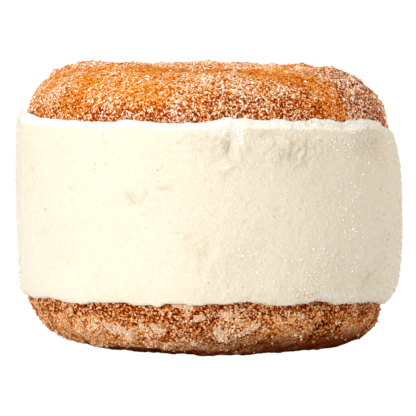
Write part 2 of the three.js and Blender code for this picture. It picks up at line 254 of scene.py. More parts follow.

# Painted shade on the low front right of a crust, which fades out where the cosine of the turn from its
# bearing falls to `edge`.
LOW_SIDE_SHADE = SimpleNamespace(bearing=math.radians(-36), edge=0.35, heights=(7.5, 2.0))
# Painted shade on the bottom crust's right end.
END_SHADE = SimpleNamespace(bearing=math.radians(-15), edge=0.5, share=0.05)  # of the bottom crust
FOOT_SHADE_ARCS = (53.5, 62)  # arcs, in degrees, between which painted shade darkens the bottom crust's foot
LINE_SHADE = 0.5  # how much painted shade a dark line adds
TORN_TOP = (-95, 40)  # bearing and half width, in degrees, of the most torn stretch of each half's cut
TORN_BOTTOM = (-100, 70)
TORN_ELSEWHERE = 0.35  # how torn the rest of the cut is
TORN_ARC = 17  # degrees of arc from the cut that a torn edge reaches
MOST_CRAGGY = 1.1  # patches that overlap add up to no more than this
MOST_SUGAR = 1.4
SUGAR_COAT = 0.3  # the crust lies this far inside the CAD model's, under its coat of sugar
# How high the flakes stand, where on their mask they step up and where it fades, how far behind their place
# they reach, and the turn in radians that tells which way the crust runs.
FLAKE = SimpleNamespace(height=0.2, step=(0.4, 0.6), edge=(1.3, 0.7), reach=8.0, nudge=0.01)
OVERLAP = SimpleNamespace(reach=1.1, arc=5)  # mm past its cut, fading out over these degrees of the crust

# Layers of noise: a seed, and the size and height of each layer. A crust counts on from its half's own seed.
CRUST_DIMPLES = (0, (2.8, 0.2), (1.5, 0.14), (0.8, 0.1))
TORN_CRACKS = (3, (2.4, 0.4))
CRUST_CRACKS = (4, (5.0, 0.1))
CRUST_TEARS = (5, (1.4, 0.3))
SUGAR_DRIFTS = (9, (6.5, 0.45), (2.6, 0.35))
FLAKE_EDGE = (11, (1.5, 0.45), (0.8, 0.2))
LINE_WANDER = (13, (2.0, 0.3))
FRINGE_WANDER = (14, (1.4, 8.0))  # its height is in degrees
OVERLAP_WAVES = (15, (1.3, 0.25))
CREAM_RELIEF = (21, (5.0, 0.10), (2.4, 0.06), (1.2, 0.03))
CREAM_LUMPS = (24, (3.0, 0.17), (1.6, 0.12), (0.8, 0.12))  # where it is rough
HIGHLIGHT_DRIFTS = (27, (2.4, 0.55))
FROST_DRIFTS = (31, (7.0, 0.5))
EDGE_WAVES = (0, (3.4, 0.16), (1.5, 0.13), (0.9, 0.10))
CRACK_SHARPNESS = 5

# How the meshes are divided, with the radii of the rings on the faces of the ice cream.
CLOSER_AT_FRONT = 0.35  # how much closer together the columns are at the front
CUT_ROWS = 4  # rows across the cut face of a half
UNDERSIDE_RADII = (0.6, 4, 8, 11, 20, 30)
TOP_RADII = (34, 26, 18, 14, 12, 11, 10, 9, 8, 7, 6, 5, 4, 3, 2, 1.2, 0.6)
RIM_INSETS = (ICE_CREAM.rim_width, 1.4)  # of the rings just inside the rim

TOP_DRESSING = SimpleNamespace(
    columns=560, arc_steps=126, sugar=0.45, lumps=LUMPS_TOP, patches=TOP_PATCHES, charred=(),
    crags=TOP_CRAGS, flakes=(), lines=TOP_LINES, dents=TOP_DENTS, torn_at=TORN_TOP, fringe=None,
    edge=TOP_EDGE,
)
BOTTOM_DRESSING = SimpleNamespace(
    columns=520, arc_steps=116, sugar=0.3, lumps=LUMPS_BOTTOM, patches=BOTTOM_PATCHES,
    charred=BOTTOM_CHARRED, crags=BOTTOM_CRAGS, flakes=BOTTOM_FLAKES, lines=(), dents=BOTTOM_DENTS,
    torn_at=TORN_BOTTOM, fringe=FOOT_SHADE_ARCS, edge=BOTTOM_EDGE,
)

# ---- Colours ----

CAKED_SUGAR = (0.95, 0.75, 0.63)
BURNT = (0.03, 0.010, 0.005)
CREAM_TONES = ((0.3, (0.875, 0.795, 0.65)), (0.55, (0.89, 0.82, 0.69)), (0.75, (0.895, 0.835, 0.725)))
# Painted shade, mixed in where the cream has hollows and nicks and in the named shaded places.
CREAM_PAINTED_SHADE = (0.82, 0.69, 0.50)
# Painted highlight along both edges of the wall and on named ridges and bumps.
CREAM_HIGHLIGHT = (0.99, 0.98, 0.955)
CREAM_GRAIN = (0.80, 0.69, 0.52)
# Darker mottling in rough places: painted shade for the lumps there.
CREAM_MOTTLE_SHADE = (0.71, 0.61, 0.45)
ICE = (0.98, 0.97, 0.95)
# A crust's colours, from its dark gaps to its palest sugar, and how much each feature adds to their level.
# The darkest tones, and the darkening toward each grain's rim and in the seams between pebbles, are painted
# shade, as is part of the darkening where the crust is torn. The last colour multiplies the crust where it
# has painted shade.
TOP_LOOK = SimpleNamespace(
    tones=(
        (0.00, (0.30, 0.020, 0.001)),
        (0.14, (0.67, 0.095, 0.001)),
        (0.30, (0.80, 0.18, 0.004)),
        (0.45, (0.86, 0.28, 0.016)),
        (0.59, (0.90, 0.40, 0.080)),
        (0.74, (0.94, 0.58, 0.26)),
        (0.88, (0.97, 0.79, 0.57)),
        (0.98, (1.0, 0.95, 0.90)),
    ),
    level=-0.55, facets=0.66, rounding=0.50, roughness=1.4, usual_grain=0.85, graininess=(0.8, 1.2),
    uneven=6.5, drift=0.35, sugar=0.22, torn=0.15, shaded_seams=0.35, flake=0.2, cell=0.40, relief=0.24,
    pebble=1.1, craggy=(0.58, 0.70), browned=(0.75, 0.45, 0.20), gloss=0.7,
)
BOTTOM_LOOK = SimpleNamespace(
    tones=(
        (0.06, (0.18, 0.007, 0.001)),
        (0.22, (0.38, 0.045, 0.001)),
        (0.36, (0.59, 0.13, 0.006)),
        (0.48, (0.75, 0.225, 0.027)),
        (0.60, (0.87, 0.35, 0.085)),
        (0.74, (0.95, 0.52, 0.225)),
        (0.90, (0.98, 0.75, 0.51)),
    ),
    level=-0.45, facets=0.42, rounding=0.40, roughness=1.7, usual_grain=0.9, graininess=(0.9, 1.15),
    uneven=2.4, drift=0.35, sugar=0.22, torn=0.16, shaded_seams=0.45, flake=0.14, cell=0.46, relief=0.28,
    pebble=1.05, craggy=(0.52, 0.64), browned=(0.24, 0.075, 0.028), gloss=0.8,
)


# ---- Tools ----


def hash01(x, y, z, seed):
    """A repeatable number from 0 to 1 for a lattice point. Any large, uneven factors would do."""
    wave = np.sin(x * 127.1 + y * 311.7 + z * 74.7 + seed * 53.3) * 43758.5453
    return wave - np.floor(wave)


def noise(points, size, seed):
    """Smooth noise from -1 to 1 whose bumps are about `size` apart."""
    cell = points / size
    corner = np.floor(cell)
    t = cell - corner
    t = t * t * (3 - 2 * t)
    total = 0
    for shift in itertools.product((0, 1), repeat=3):
        share = np.prod(np.where(shift, t, 1 - t), axis=-1)
        total = total + share * hash01(*np.moveaxis(corner + shift, -1, 0), seed)
    return 2 * total - 1


def layered(points, layers, seed=0):
    """Layers of noise together: their own seed comes first, and then the size and height of each."""
    own_seed, *layers = layers
    return sum(height * noise(points, size, seed + k) for k, (size, height) in enumerate(layers, own_seed))


def cracks(points, layer, seed):
    """Depth of thin winding cracks: 0 nearly everywhere."""
    own_seed, (size, depth) = layer
    return depth * (1 - np.minimum(1, CRACK_SHARPNESS * np.abs(noise(points, size, seed + own_seed))))


def soft_bump(distance):
    """1 at the middle of a soft bump, a third at one half width away and almost 0 at two."""
    return np.exp(-(distance**2))


def turn(start, end):
    """The angle between two bearings, from -180 to 180 degrees, in radians."""
    return np.arctan2(np.sin(end - start), np.cos(end - start))


def smooth_step(low, high, value):
    t = np.clip((value - low) / (high - low), 0, 1)
    return t * t * (3 - 2 * t)


def swells(bumps, bearing):
    """How high named bumps rise together, each with its bearing and half width in degrees, and its rise."""
    return sum(
        rise * soft_bump(turn(math.radians(middle), bearing) / math.radians(half_width))
        for middle, half_width, rise in bumps
    )


def to_side(side, bearing):
    """1 at one side's bearing, falling to 0 away from it."""
    return smooth_step(side.edge, 1.0, np.cos(turn(side.bearing, bearing)))


def leaning_distance(along, above, lean, long, wide):
    """Distance from the middle of an ellipse that leans, where 1 is on its edge."""
    level = (along * math.cos(lean) + above * math.sin(lean)) / long
    upright = (above * math.cos(lean) - along * math.sin(lean)) / wide
    return np.hypot(level, upright)


def polar(radius, bearing):
    return radius * np.cos(bearing), radius * np.sin(bearing)


def vertex_normals(points, faces):
    a, b, c = (points[faces[:, k]] for k in range(3))
    across = np.cross(b - a, c - a)
    normals = np.stack(
        [sum(np.bincount(faces[:, k], across[:, axis], len(points)) for k in range(3)) for axis in range(3)],
        axis=-1,
    )
    return normals / np.maximum(np.linalg.norm(normals, axis=1, keepdims=True), 1e-12)


def round_bearings(columns):
    """Bearings all the way round, finer at the front."""
    even = np.linspace(0, 2 * math.pi, columns, endpoint=False)
    return (even - CLOSER_AT_FRONT * np.cos(even))[None, :]


def grid_faces(rows, columns, closed):
    """Triangles of a grid whose columns go all round. A closed one's last row meets its first."""
    row = np.arange(rows if closed else rows - 1)[:, None]
    column = np.arange(columns)[None, :]
    after = (column + 1) % columns
    above = (row + 1) % rows
    a = row * columns + column
    b = row * columns + after
    c = above * columns + after
    d = above * columns + column
    return np.concatenate([np.stack(t, -1).reshape(-1, 3) for t in ((a, b, c), (a, c, d))])


def fan_faces(ring, middle, upward):
    """Triangles from a ring of vertices to the vertex in its middle."""
    after = np.roll(ring, -1)
    centre = np.full_like(ring, middle)
    return np.stack([ring, after, centre] if upward else [after, ring, centre], axis=-1)


def add_object(name, data):
    made = bpy.data.objects.new(name, data)
    bpy.context.scene.collection.objects.link(made)
    return made


def mesh_object(name, points, faces, material, masks, smooth=True):
    """An object from points in mm and triangles. Its material reads the masks: one number a vertex."""
    mesh = bpy.data.meshes.new(name)
    mesh.from_pydata(points * MM, [], faces)
    if smooth:
        mesh.shade_smooth()
    for mask, values in masks.items():
        attribute = mesh.attributes.new(mask, "FLOAT", "POINT")
        attribute.data.foreach_set("value", np.asarray(values, np.float32).ravel())
    mesh.materials.append(material)
    return add_object(name, mesh)


# ---- Joints between the ice cream and the doughnut ----


def joint_height(joint, x, y):
    twist = 2 * WARP.bearing
    saddle = (x * x - y * y) * math.cos(twist) + 2 * x * y * math.sin(twist)
    return joint.level + joint.slope_x * x + joint.slope_y * y + WARP.rise * saddle / WARP.radius**2


def cut_height(half, x, y):
    return joint_height(half.joint, x, y) + half.up * SEAT


# ---- Doughnut halves ----


def outward_at(half, arc, bearing):
    """The way that a plain ring would face at a place on its crust."""
    x, y = polar(np.cos(arc), bearing)
    return np.stack([x, y, half.up * np.sin(arc)], axis=-1)


def crust_points(half, arc, bearing):
    """Places on a half's crust: arc runs from 0 at the outer cut edge, over the crest, to pi at the hole."""
    arc, bearing = np.broadcast_arrays(arc, bearing)
    side = np.cos(arc)
    to_left = (1 - np.cos(bearing)) / 2
    fullness = np.where(side > 0, half.full_right + (half.full_left - half.full_right) * to_left, 1.0)
    reach = np.where(side > 0, half.radius - half.crest_radius, half.crest_radius - half.hole_radius)
    radius = half.crest_radius + np.sign(side) * reach * np.abs(side) ** fullness
    x, y = polar(radius, bearing)
    x = x + half.offset_x
    base = cut_height(half, x, y)
    crest = half.crest_level - half.crest_swing * np.cos(bearing)
    rise = np.clip(np.sin(arc), 0, 1)
    points = np.stack([x, y, base + (crest - base) * rise**fullness], axis=-1)
    crags = (CRAGS_AT_CUT + (1 - CRAGS_AT_CUT) * rise) * layered(points, CRAGS, half.seed)
    points = points + outward_at(half, arc, bearing) * crags[..., None]
    points[..., 2] = np.maximum(points[..., 2], 0)
    return points


def crust_place(half, arc, bearing):
    """One place on a half's crust, from degrees."""
    return crust_points(half, math.radians(arc), math.radians(bearing))


def lump_places(half, lumps):
    """Centre and radius of each lump of caked sugar, as in the CAD model."""
    index = np.arange(lumps.count)

    def draw(k):
        return hash01(index, k, lumps.seed, lumps.seed)

    bearing = (index + draw(1)) / lumps.count * 2 * math.pi
    arc = np.radians(lumps.from_arc + (lumps.to_arc - lumps.from_arc) * draw(2))
    radius = LUMP.smallest + (LUMP.largest - LUMP.smallest) * draw(3) ** 2
    least, greatest = LUMP.widths
    return crust_points(half, arc, bearing), radius * (least + (greatest - least) * draw(5))


def lump_masks(half, points, lumps):
    """How high the lumps stand at each point, and how much sugar they add."""
    height = sugar = np.zeros(len(points))
    for centre, radius in zip(*lump_places(half, lumps)):
        away = np.linalg.norm(points - centre, axis=-1) / radius
        dome = np.sqrt(np.clip(1 - away**2, 0, 1))
        height = height + radius * LUMP.flatness * (1 - LUMP.sink) * dome
        sugar = sugar + LUMP.sugar * soft_bump(away)
    return height, sugar


def patch_strength(half, points, patches):
    """How strongly soft patches of a crust act together at each point."""
    total = np.zeros(len(points))
    for bearing, arc, half_width, strength in patches:
        away = np.linalg.norm(points - crust_place(half, arc, bearing), axis=-1)
        total = total + strength * soft_bump(away / half_width)
    return total


def flake_mask(half, points, flakes):
    """1 where sugar lies caked in a thin flake, falling to 0 past its ragged edge."""
    nearest = np.full(len(points), np.inf)
    for bearing, arc, long, wide, lean in flakes:
        bearing, arc, lean = math.radians(bearing), math.radians(arc), math.radians(lean)
        centre = crust_points(half, arc, bearing)
        around = crust_points(half, arc, bearing + FLAKE.nudge) - centre
        upward = half.up * (crust_points(half, arc + FLAKE.nudge, bearing) - centre)
        away = points - centre
        along = away @ (around / np.linalg.norm(around))
        above = away @ (upward / np.linalg.norm(upward))
        outward = away @ outward_at(half, 0.0, bearing)
        distance = leaning_distance(along, above, lean, long, wide)
        nearest = np.minimum(nearest, np.where(outward < -FLAKE.reach, np.inf, distance))
    return smooth_step(*FLAKE.edge, nearest + layered(points, FLAKE_EDGE, half.seed))


def path_distance(points, path):
    """How far each point is from a line through the points of a path."""
    nearest = np.full(len(points), np.inf)
    for start, end in itertools.pairwise(path):
        step = end - start
        share = np.clip((points - start) @ step / (step @ step), 0, 1)
        away = np.linalg.norm(points - start - share[:, None] * step, axis=-1)
        nearest = np.minimum(nearest, away)
    return nearest


def line_masks(half, points, lines):
    """How strong the painted shade of the lines on a crust is at each point, and how deep they are."""
    dark = deep = np.zeros(len(points))
    wander = layered(points, LINE_WANDER, half.seed)
    for path, half_width, strength, depth in lines:
        places = [crust_place(half, arc, bearing) for arc, bearing in path]
        near = soft_bump((path_distance(points, places) + wander) / half_width)
        dark = np.maximum(dark, strength * near)
        deep = np.maximum(deep, depth * near)
    return dark, deep


def crust_grid(half, columns, arc_steps):
    """Points and triangles of a crust with a flat cut face, and the arc and bearing of each point."""
    bearing = round_bearings(columns)
    arc = np.linspace(0, math.pi, arc_steps)[:, None]
    crust = crust_points(half, arc, bearing)
    across = np.linspace(0, 1, CUT_ROWS + 2)[1:-1, None, None]
    cut = crust[-1] + (crust[0] - crust[-1]) * across
    cut[..., 2] = cut_height(half, cut[..., 0], cut[..., 1])
    grid = np.concatenate([crust, cut])
    arc = np.concatenate([arc, np.zeros((CUT_ROWS, 1))])
    if half.up < 0:
        grid, arc = grid[::-1], arc[::-1]
    arc, bearing = (values.ravel() for values in np.broadcast_arrays(arc, bearing))
    return grid.reshape(-1, 3), grid_faces(*grid.shape[:2], closed=True), arc, bearing


def torn_edge(torn_at, arc, bearing):
    """How torn the crust is beside its cut, most of all along one stretch."""
    middle, half_width = (math.radians(value) for value in torn_at)
    near_cut = soft_bump(arc / math.radians(TORN_ARC))
    stretch = soft_bump(turn(middle, bearing) / half_width)
    return near_cut * (TORN_ELSEWHERE + (1 - TORN_ELSEWHERE) * stretch)


def crust_relief(points, torn, seed):
    """Height of the fine relief: soft dimples, cracks, and tears where the crust is torn."""
    in_tears = layered(points, CRUST_TEARS, seed) - cracks(points, TORN_CRACKS, seed)
    return layered(points, CRUST_DIMPLES, seed) - cracks(points, CRUST_CRACKS, seed) + torn * in_tears


def cut_overlap(half, dressing, points, bearing):
    """How far the crust reaches past its cut, so that no gap opens where the ice cream's edge draws back."""
    edge = -half.up * edge_rise(dressing.edge, bearing)
    return OVERLAP.reach + layered(points, OVERLAP_WAVES, half.seed) + np.maximum(0, edge)


def painted_crust_shade(half, dressing, points, arc, bearing):
    """How much painted shade darkens the crust: low at the front right, and at the bottom half's foot and
    right end.
    """
    browned = smooth_step(*LOW_SIDE_SHADE.heights, points[:, 2]) * to_side(LOW_SIDE_SHADE, bearing)
    if dressing.fringe:
        wandering = np.degrees(arc) + layered(points, FRINGE_WANDER, half.seed)
        browned = np.maximum(browned, smooth_step(*dressing.fringe, wandering))
        browned = np.maximum(browned, END_SHADE.share * to_side(END_SHADE, bearing))
    return browned


def sugared_half(name, half, dressing, material):
    """One half's crust, with masks for its sugar, torn places, caked flakes, painted shade and burnt crumbs.
    """
    points, faces, arc, bearing = crust_grid(half, dressing.columns, dressing.arc_steps)
    torn = torn_edge(dressing.torn_at, arc, bearing)
    craggy = patch_strength(half, points, dressing.crags)
    flake = flake_mask(half, points, dressing.flakes)
    dark_line, line_depth = line_masks(half, points, dressing.lines)
    lump, lump_sugar = lump_masks(half, points, dressing.lumps)
    relief = crust_relief(points, torn, half.seed) + FLAKE.height * smooth_step(*FLAKE.step, flake) + lump
    relief = relief - line_depth - patch_strength(half, points, dressing.dents) - SUGAR_COAT
    sugar = dressing.sugar + layered(points, SUGAR_DRIFTS, half.seed) + lump_sugar
    sugar = sugar + patch_strength(half, points, dressing.patches) - dark_line
    on_crust = (arc > 0) & (arc < math.pi)
    points = points + vertex_normals(points, faces) * (relief * on_crust)[:, None]
    past_cut = cut_overlap(half, dressing, points, bearing) * soft_bump(arc / math.radians(OVERLAP.arc))
    points[:, 2] -= half.up * past_cut * on_crust
    points[:, 2] = np.maximum(points[:, 2], 0)
    masks = {
        "sugar": np.clip(sugar, 0, MOST_SUGAR),
        "torn": np.maximum(torn, np.clip(craggy, 0, MOST_CRAGGY)),
        "flake": flake,
        "browned": np.maximum(painted_crust_shade(half, dressing, points, arc, bearing), LINE_SHADE * dark_line),
        "charred": np.clip(patch_strength(half, points, dressing.charred), 0, 1),
    }
    piece = mesh_object(name, points, faces, material, masks)
    return SimpleNamespace(piece=piece, points=points, faces=faces, masks=masks, arc=arc)


# ---- Ice cream ----


def mark_strength(marks, bearing, height):
    """How strong the marks are together at places on the wall."""
    total = 0
    for middle, level, wide, tall, strength, *lean in marks:
        along = ICE_CREAM.radius * turn(math.radians(middle), bearing)
        distance = leaning_distance(along, height - level, math.radians(sum(lean)), wide, tall)
        total = total + strength * soft_bump(2 * distance)
    return total


def corner_pull(corner, bearing, distance, least=-math.inf, less=0.0):
    """How far a corner pulls the wall in, this far from the edge. It is rounder to the right."""
    inset, drop, swing, swing_drop = corner
    inset = np.maximum(inset + swing * np.cos(bearing) - less, least)
    share = np.clip(1 - distance / (drop + swing_drop * np.cos(bearing)), 0, 1)
    return inset * (1 - np.sqrt(1 - share**2))


def edge_rise(edge, bearing):
    """How far an edge of the ice cream rises above its joint: named swells and small random waves."""
    seed, *named = edge
    x, y = polar(ICE_CREAM.radius, bearing)
    return layered(np.stack([x, y, 0 * x], axis=-1), EDGE_WAVES, seed) + swells(named, bearing)


def wall_points(share, bearing):
    """Places on the wall, a share of the way up from the bottom joint to the top rim."""
    share, bearing = np.broadcast_arrays(share, bearing)
    x, y = polar(ICE_CREAM.radius, bearing)
    lip = swells(LIPS, bearing)
    low = joint_height(BOTTOM_JOINT, x, y)
    high = joint_height(TOP_JOINT, x, y) + lip
    z = low + (high - low) * share
    radius = (
        ICE_CREAM.radius
        - ICE_CREAM.taper * (share - ICE_CREAM.waist) ** 2
        - corner_pull(ICE_CREAM.top_corner, bearing, high - z, ICE_CREAM.least_inset, LIP_SPREAD * lip)
        - corner_pull(ICE_CREAM.bottom_corner, bearing, z - low) * (1 + np.cos(bearing) ** 2) / 2
        - mark_strength(HOLLOWS, bearing, z)
        + layered(np.stack([x, y, z], axis=-1), WALL_WAVES)
    )
    return np.stack([*polar(radius, bearing), z], axis=-1)


def face_points(joint, radius, bearing):
    """Places on a joint face, with the low swell in the hole of the doughnut on top."""
    radius, bearing = np.broadcast_arrays(radius, bearing)
    x, y = polar(radius, bearing)
    swell = ICE_CREAM.plug_rise * np.maximum(0, 1 - (radius / ICE_CREAM.plug_radius) ** 2)
    return np.stack([x, y, joint_height(joint, x, y) + (swell if joint is TOP_JOINT else 0)], axis=-1)


def cream_grid(columns, wall_steps):
    """Rows of points from the underside's middle, up the wall and over the rim to the middle of the top."""
    bearing = round_bearings(columns)
    even = np.linspace(0, 1, wall_steps)
    finer_at_edges = (1 - np.cos(math.pi * even)) / 2
    wall = wall_points((even + finer_at_edges)[:, None] / 2, bearing)
    foot_radius, *_, rim_radius = np.hypot(wall[..., 0], wall[..., 1])
    parts = [
        face_points(BOTTOM_JOINT, np.array(UNDERSIDE_RADII)[:, None], bearing),
        face_points(BOTTOM_JOINT, foot_radius, bearing),
        wall[1:],
        face_points(TOP_JOINT, rim_radius - np.array(RIM_INSETS)[:, None], bearing),
        face_points(TOP_JOINT, np.array(TOP_RADII)[:, None], bearing),
    ]
    return np.concatenate(parts)


def closed_grid(grid):
    """Points and triangles of a grid whose first and last rows each close on a point in their middle."""
    rows, columns = grid.shape[:2]
    ring = np.arange(columns)
    points = np.concatenate([grid.reshape(-1, 3), [grid[0].mean(axis=0), grid[-1].mean(axis=0)]])
    faces = [
        grid_faces(rows, columns, closed=False),
        fan_faces(ring, rows * columns, upward=False),
        fan_faces(ring + (rows - 1) * columns, rows * columns + 1, upward=True),
    ]
    return points, np.concatenate(faces)


def cream_places(points):
    """Where each point lies on the round: its bearing and height, and how far it is from both joints."""
    x, y, z = points.T
    radius = np.hypot(x, y)
    return SimpleNamespace(
        bearing=np.arctan2(y, x),
        radius=radius,
        height=z,
        on_wall=smooth_step(*WALL_STARTS, radius),
        below_top=joint_height(TOP_JOINT, x, y) - z,
        above_bottom=z - joint_height(BOTTOM_JOINT, x, y),
    )


def shape_edges(points, at):
    """Rounds the rim off, and raises and lowers both edges along their joints."""
    near_top = smooth_step(EDGE_DEPTH, 0, at.below_top) * at.on_wall
    near_bottom = smooth_step(EDGE_DEPTH, 0, at.above_bottom) * at.on_wall
    bevel = RIM_BEVEL.depth + RIM_BEVEL.more_to_right * np.maximum(0, np.cos(at.bearing))
    bevel = bevel * smooth_step(RIM_BEVEL.drop, 0, at.below_top) * at.on_wall
    points[:, :2] *= (1 - bevel / ICE_CREAM.radius)[:, None]
    points[:, 2] += near_top * edge_rise(TOP_EDGE, at.bearing)
    points[:, 2] += near_bottom * edge_rise(BOTTOM_EDGE, at.bearing)


def frost_mask(points, at):
    """Where frost lies: in drifts, and thicker low on the right, in a named place and under the lip there."""
    to_right = np.cos(at.bearing)
    low_right = smooth_step(*FROST_SIDES.low, to_right) * smooth_step(*FROST_HEIGHTS, at.height)
    under_lip = smooth_step(*FROST_SIDES.lip, to_right) * smooth_step(*FROST_DROPS, at.below_top)
    frost = FROST.everywhere + FROST.low_right * low_right + FROST.under_lip * under_lip
    frost = frost + mark_strength(FROSTED, at.bearing, at.height) + layered(points, FROST_DRIFTS)
    return np.clip(frost, 0, 1)


def highlight_mask(points, at):
    """Where painted highlight whitens the wall: along both its edges and in named places."""
    lip = LIP_HIGHLIGHT.share * smooth_step(*LIP_HIGHLIGHT.fade, at.below_top)
    foot = FOOT_HIGHLIGHT.share * smooth_step(*FOOT_HIGHLIGHT.fade, at.above_bottom)
    named = mark_strength(WHITE_SMEARS_AND_HIGHLIGHTS, at.bearing, points[:, 2])
    white = np.maximum(np.maximum(lip, foot), named) * at.on_wall
    return np.clip(white * (HIGHLIGHT_LEVEL + layered(points, HIGHLIGHT_DRIFTS)), 0, 1)


def ice_cream_round(name, columns, wall_steps, material):
    """The round of ice cream, with masks for the painted shade in its hollows, its frost, the painted
    highlight along its edges, and its rough places.
    """
    points, faces = closed_grid(cream_grid(columns, wall_steps))
    at = cream_places(points)
    nicks = mark_strength(NICKS, at.bearing, at.height) * at.on_wall
    rough = np.clip(mark_strength(ROUGH_CREAM, at.bearing, at.height), 0, MOST_ROUGH) * at.on_wall
    frost = frost_mask(points, at)
    relief = layered(points, CREAM_RELIEF) + rough * layered(points, CREAM_LUMPS) - nicks
    points = points + vertex_normals(points, faces) * relief[:, None]
    shape_edges(points, at)
    # Painted shade: nicks, hollows and the named shaded places darken the cream's colour.
    hollows = HOLLOW_SHADE * mark_strength(HOLLOWS, at.bearing, points[:, 2])
    shaded = mark_strength(SHADED, at.bearing, points[:, 2])
    masks = {
        "hollow": nicks + (hollows + shaded) * at.on_wall,
        "frost": frost,
        # The edge mask holds the painted highlight.
        "edge": highlight_mask(points, at),
        "rough": rough,
    }
    piece = mesh_object(name, points, faces, material, masks)
    return SimpleNamespace(piece=piece, points=points, faces=faces, masks=masks, at=at)


# ---- Grains of sugar, cinnamon and ice ----

CRYSTAL = SimpleNamespace(
    corners=np.array(list(itertools.product((-0.5, 0.5), repeat=3))),
    faces=np.array([
        [0, 1, 3], [0, 3, 2], [4, 6, 7], [4, 7, 5], [0, 4, 5], [0, 5, 1],
        [2, 3, 7], [2, 7, 6], [0, 2, 6], [0, 6, 4], [1, 5, 7], [1, 7, 3],
    ]),
)
SPLINTER = SimpleNamespace(
    corners=np.array([[0.5, 0.5, 0.5], [-0.5, -0.5, 0.5], [-0.5, 0.5, -0.5], [0.5, -0.5, -0.5]]),
    faces=np.array([[0, 2, 1], [0, 1, 3], [0, 3, 2], [1, 2, 3]]),
)
GRAIN_STRETCH = (0.7, 1.3)
GRAIN_JITTER = (0.8, 1.2)
GRAIN_LIFT = 0.15  # how far a grain's middle stands off the surface, as a share of its size
GRAIN_CLEARANCE = 0.6  # mm above the floor that has no grains
SMALL_GRAINS = 1.6  # power that makes more of them small than large

GRAIN_SEEDS = SimpleNamespace(top=11, bottom=12, ice_cream=13)
CUT_ARC = 8  # degrees of arc from the cut where grains lie thicker
GRAINS_START = (36, 39)  # radii between which they begin on the ice cream
BARE_BELOW = 0.45  # sugar on the bottom half that is too thin for crystals
FLAKE_GRAINS = 0.3  # how much thicker they lie on its flakes
# Crumbs along the foot's band of painted highlight, which is lower than this in mm.
FOOT_CRUMBS = SimpleNamespace(share=0.15, narrowing=6, below=30)


@dataclass
class Grains:
    """A kind of grain, with how many are strewn and from what size to what size in mm."""

    name: str
    slot: str
    shape: SimpleNamespace
    count: int
    smallest: float
    largest: float
    anywhere: float  # how thick they lie in the barest places, as a weight
    at_cut: float  # how much thicker beside the cut of a half
    tones: tuple


TOP_SUGAR = Grains(
    "top_sugar", "sugared_crust", CRYSTAL, 5500, 0.16, 0.46, 0.03, 0.2,
    ((0, (0.92, 0.52, 0.26)), (0.5, (0.98, 0.76, 0.56)), (1, (1.0, 0.95, 0.90))),
)
TOP_FINE_SUGAR = Grains(
    "top_fine_sugar", "sugared_crust", SPLINTER, 7000, 0.22, 0.5, 0.15, 1.2,
    ((0, (0.62, 0.15, 0.01)), (0.5, (0.88, 0.45, 0.15)), (1, (0.98, 0.85, 0.7))),
)
BOTTOM_SUGAR = Grains(
    "bottom_sugar", "brown_crust", CRYSTAL, 2000, 0.16, 0.4, 0.03, 0.0,
    ((0, (0.88, 0.48, 0.22)), (0.5, (0.95, 0.68, 0.44)), (1, (0.98, 0.86, 0.72))),
)
CINNAMON = Grains(
    "bottom_cinnamon", "brown_crust", SPLINTER, 7000, 0.3, 0.6, 0.6, 1.0,
    ((0, (0.36, 0.08, 0.01)), (0.5, (0.74, 0.35, 0.11)), (1, (0.88, 0.60, 0.36))),
)
ICE_CRYSTALS = Grains(
    "frost", "ice_cream", SPLINTER, 7000, 0.14, 0.36, 0.05, 0.0,
    ((0, (0.93, 0.88, 0.78)), (1, (0.98, 0.97, 0.95))),
)
TAN_CRUMBS = Grains(
    "crumbs", "ice_cream", SPLINTER, 650, 0.12, 0.36, 0.012, 0.0,
    ((0, (0.68, 0.38, 0.10)), (0.6, (0.84, 0.60, 0.32)), (1, (0.92, 0.76, 0.54))),
)


def scatter(surface, weight, count, rng):
    """Random places on a surface, thicker where its vertices weigh more, and the way that it faces there."""
    corners = surface.points[surface.faces]
    across = np.cross(corners[:, 1] - corners[:, 0], corners[:, 2] - corners[:, 0])
    area = np.linalg.norm(across, axis=1)
    chance = area * np.maximum(weight, 0)[surface.faces].mean(axis=1)
    chosen = rng.choice(len(chance), size=count, p=chance / chance.sum())
    u, v = rng.random((2, count, 1))
    u, v = np.where(u + v > 1, 1 - u, u), np.where(u + v > 1, 1 - v, v)
    a, b, c = np.moveaxis(corners[chosen], 1, 0)
    places = a + (b - a) * u + (c - a) * v
    clear = places[:, 2] > GRAIN_CLEARANCE
    return places[clear], (across[chosen] / area[chosen, None])[clear]


def turned_at_random(groups, rng):
    """Groups of points, each group turned by its own random quaternion."""
    turns = rng.normal(size=(len(groups), 1, 4))
    turns /= np.linalg.norm(turns, axis=-1, keepdims=True)
    scalar, vector = turns[..., :1], turns[..., 1:]
    across = np.cross(vector, groups)
    return groups + 2 * (scalar * across + np.cross(vector, across))


def grains(name, shape, places, normals, sizes, material, rng):
    """One joined mesh of many small grains, each with its own size, shape and turn, seated on a surface."""
    count = len(places)
    stretch = rng.uniform(*GRAIN_STRETCH, (count, 1, 3))
    jitter = rng.uniform(*GRAIN_JITTER, (count, len(shape.corners), 3))
    local = turned_at_random(shape.corners * stretch * jitter * sizes[:, None, None], rng)
    middle = places + normals * (GRAIN_LIFT * sizes)[:, None]
    points = (local + middle[:, None, :]).reshape(-1, 3)
    first = (np.arange(count) * len(shape.corners))[:, None, None]
    faces = (shape.faces[None] + first).reshape(-1, 3)
    tone = np.repeat(rng.random(count), len(shape.corners))
    return mesh_object(name, points, faces, material, {"tone": tone}, smooth=False)


def strew(kind, surface, weight, rng):
    """One piece of many grains of a kind strewn over a surface, more of them where the weight is greater."""
    places, normals = scatter(surface, weight, kind.count, rng)
    sizes = kind.smallest + (kind.largest - kind.smallest) * rng.random(len(places)) ** SMALL_GRAINS
    material = grain_material(f"{kind.name}_grains", kind.tones)
    seat(grains(kind.name, kind.shape, places, normals, sizes, material, rng))


# ---- Materials ----


